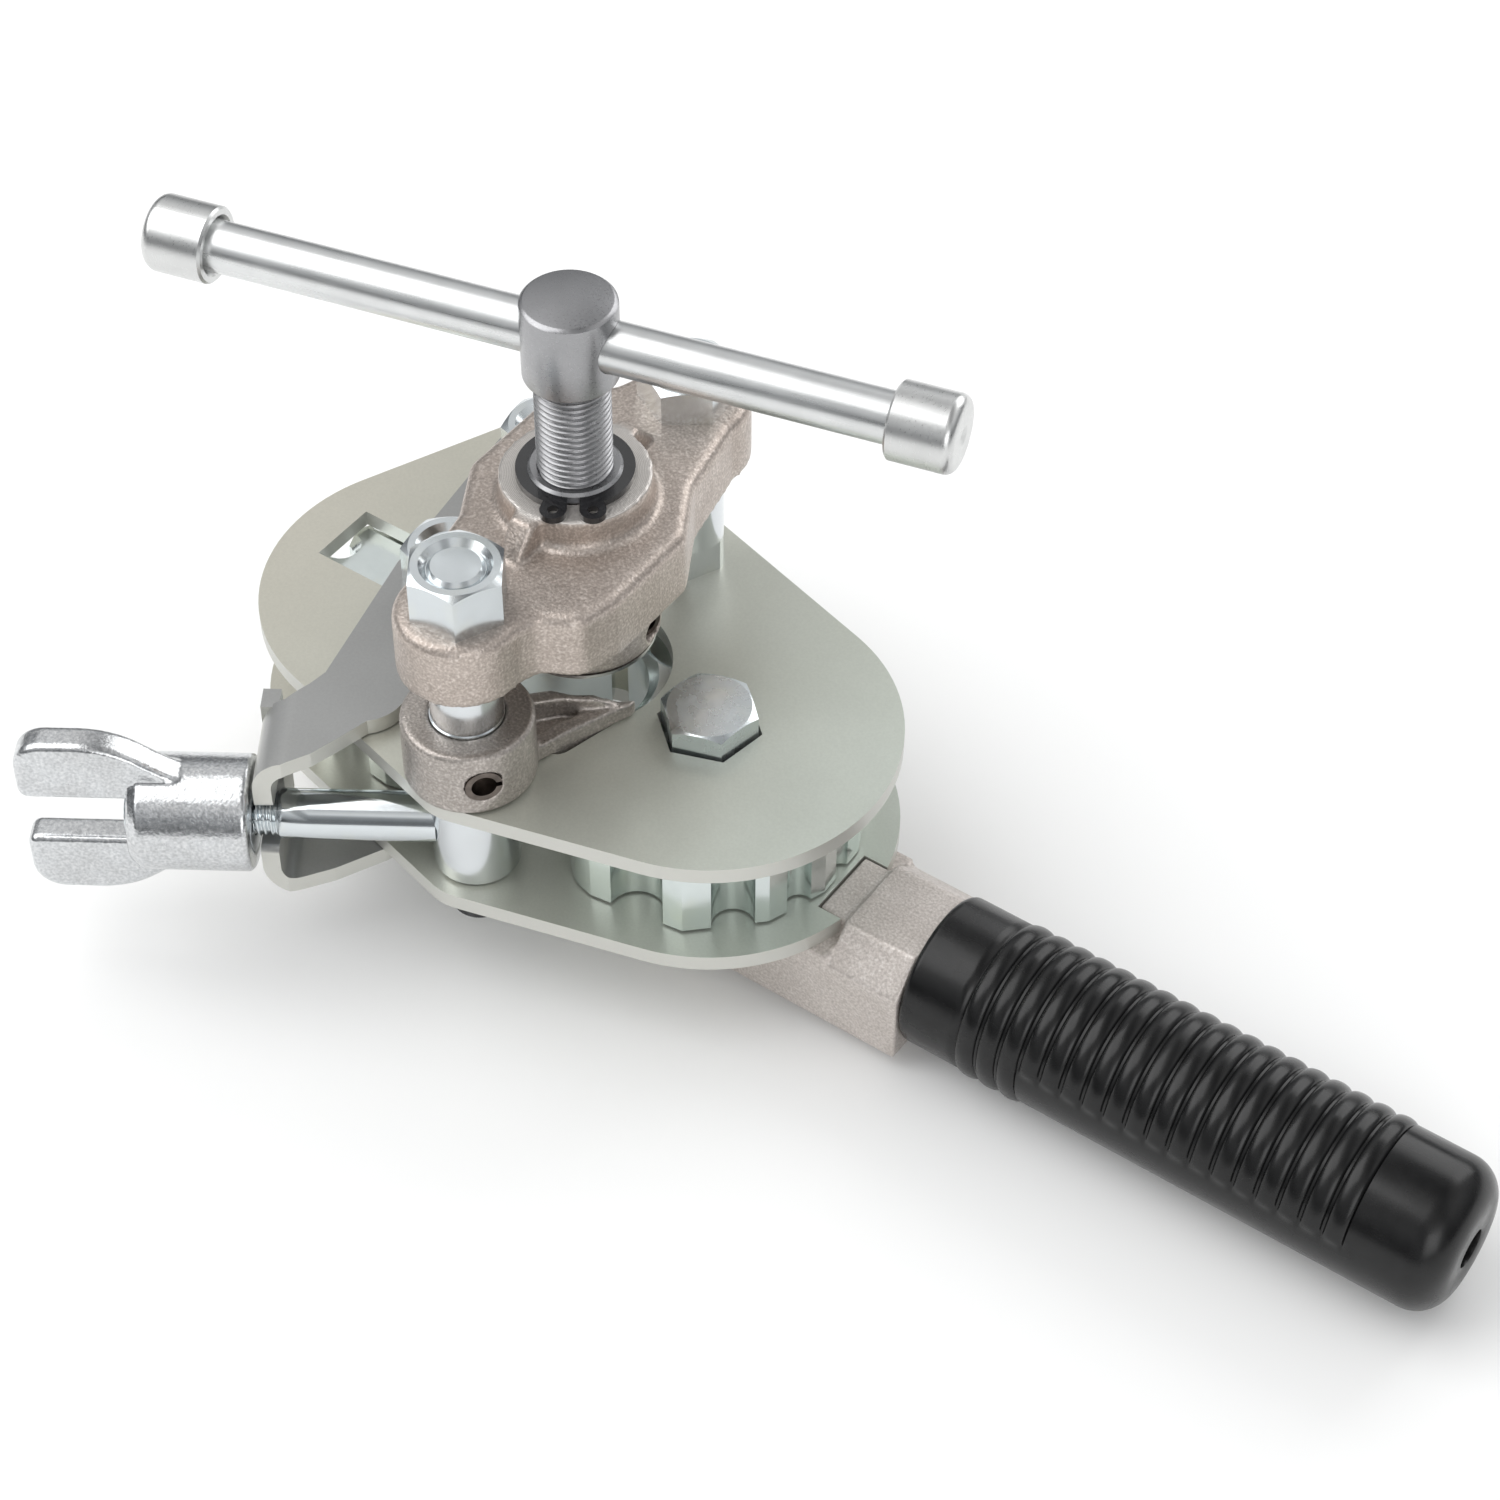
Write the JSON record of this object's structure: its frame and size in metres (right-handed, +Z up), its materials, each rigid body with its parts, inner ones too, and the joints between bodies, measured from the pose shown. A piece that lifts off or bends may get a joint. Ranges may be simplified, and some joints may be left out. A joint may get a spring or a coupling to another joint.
{
  "type": "flaring tool",
  "caption": "Turret-die tube flaring tool: hinged die wheels between two plates, feed screw with T-bar and 45 degree cone over them, swing-bolt clamp and ribbed side handle.",
  "frame": {"origin": "on the tube and feed screw axis, between the die wheels, a quarter of the plates' gap above the lower plate", "axes": "+Z up the feed screw, +X from the tube axis down the handle, +Y to the back pillar"},
  "size_m": [0.3143, 0.1598, 0.1582],
  "materials": {
    "plate_steel": "matte plated",
    "arm_steel": "matte",
    "bright_zinc": "bright zinc",
    "casting": "grainy investment casting",
    "handle_cast": "grainy casting, light grey",
    "screw_steel": "satin",
    "dark_steel": "dark spring steel",
    "black_clip": "gloss black",
    "grip_rubber": "semi-gloss black"
  },
  "bodies": {
    "frame": {"upper_plate": "plate_steel", "lower_plate": "plate_steel", "right_die_bush": "bright_zinc", "right_die_bolt": "bright_zinc", "front_stud": "bright_zinc", "front_nut": "bright_zinc", "front_foot_washer": "bright_zinc", "front_foot_screw": "bright_zinc", "back_stud": "bright_zinc", "back_nut": "bright_zinc", "back_foot_washer": "bright_zinc", "back_foot_screw": "bright_zinc", "front_spacer": "bright_zinc", "stop_bush": "bright_zinc", "barrel_bush": "bright_zinc", "back_spacer": "bright_zinc", "back_pillar": "bright_zinc", "yoke": "casting", "feed_sleeve": "screw_steel", "circlip": "black_clip", "pivot_bolt": "bright_zinc", "pivot_nut": "bright_zinc", "pivot_bush": "bright_zinc", "handle_casting": "handle_cast", "handle_tang": "bright_zinc", "grip": "grip_rubber"},
    "right_die": {"right_die_wheel": "bright_zinc"},
    "arm": {"clamp_arm": "arm_steel", "left_die_bolt": "bright_zinc", "left_die_nut": "bright_zinc", "left_die_bush": "bright_zinc"},
    "left_die": {"left_die_wheel": "bright_zinc"},
    "swing_bolt": {"swing_barrel": "bright_zinc", "swing_rod": "bright_zinc"},
    "washer": {"thrust_washer": "bright_zinc"},
    "wing": {"wing_nut": "bright_zinc"},
    "cone": {"flaring_cone": "screw_steel"},
    "screw": {"feed_screw": "screw_steel", "flaring_head": "casting", "head_pin": "dark_steel"},
    "bar": {"t_bar": "bright_zinc", "t_bar_cap_near": "bright_zinc", "t_bar_cap_far": "bright_zinc"},
    "stop": {"stop_arm": "casting", "stop_pin": "dark_steel"}
  },
  "joints": [
    {"name": "feed_slide", "type": "slide", "parent": "frame", "child": "cone", "axis": [0, 0, 1], "range_m": [-0.0136, 0.0036]},
    {"name": "screw_turn", "type": "hinge", "parent": "cone", "child": "screw", "pos_m": [0, 0, 0], "axis": [0, 0, 1], "range_deg": [-3240, 840]},
    {"name": "tbar_slide", "type": "slide", "parent": "screw", "child": "bar", "axis": [0.9699, 0.2436, 0], "range_m": [-0.0588, 0.0684]},
    {"name": "right_die_turn", "type": "hinge", "parent": "frame", "child": "right_die", "pos_m": [0.0339, 0, 0], "axis": [0, 0, 1], "range_deg": [-360, 360]},
    {"name": "arm_swing", "type": "hinge", "parent": "frame", "child": "arm", "pos_m": [-0.0429, 0.0444, 0], "axis": [0, 0, 1], "range_deg": [-9.65, 2.85]},
    {"name": "left_die_turn", "type": "hinge", "parent": "arm", "child": "left_die", "pos_m": [-0.03611, -0.00039, 0], "axis": [0, 0, 1], "range_deg": [-351.1, 360]},
    {"name": "bolt_swing", "type": "hinge", "parent": "frame", "child": "swing_bolt", "pos_m": [0, -0.0396, 0], "axis": [0, 0, 1], "range_deg": [0, 100]},
    {"name": "nut_slide", "type": "slide", "parent": "swing_bolt", "child": "washer", "axis": [0.8339, 0.5519, 0], "range_m": [-0.0161, 0.0048]},
    {"name": "wing_nut_turn", "type": "hinge", "parent": "washer", "child": "wing", "pos_m": [0, -0.0396, 0.006], "axis": [0.8339, 0.5519, 0], "range_deg": [-3840, 1134]},
    {"name": "stop_swing", "type": "hinge", "parent": "frame", "child": "stop", "pos_m": [0, -0.0396, 0], "axis": [0, 0, 1], "range_deg": [0, 10]}
  ],
  "couplings": [
    {"joint": "feed_slide", "follows": "screw_turn", "m_per_rad": 0.00023873},
    {"joint": "nut_slide", "follows": "wing_nut_turn", "m_per_rad": 0.00023873},
    {"joint": "arm_swing", "follows": "wing_nut_turn", "ratio": 0.002502}
  ]
}
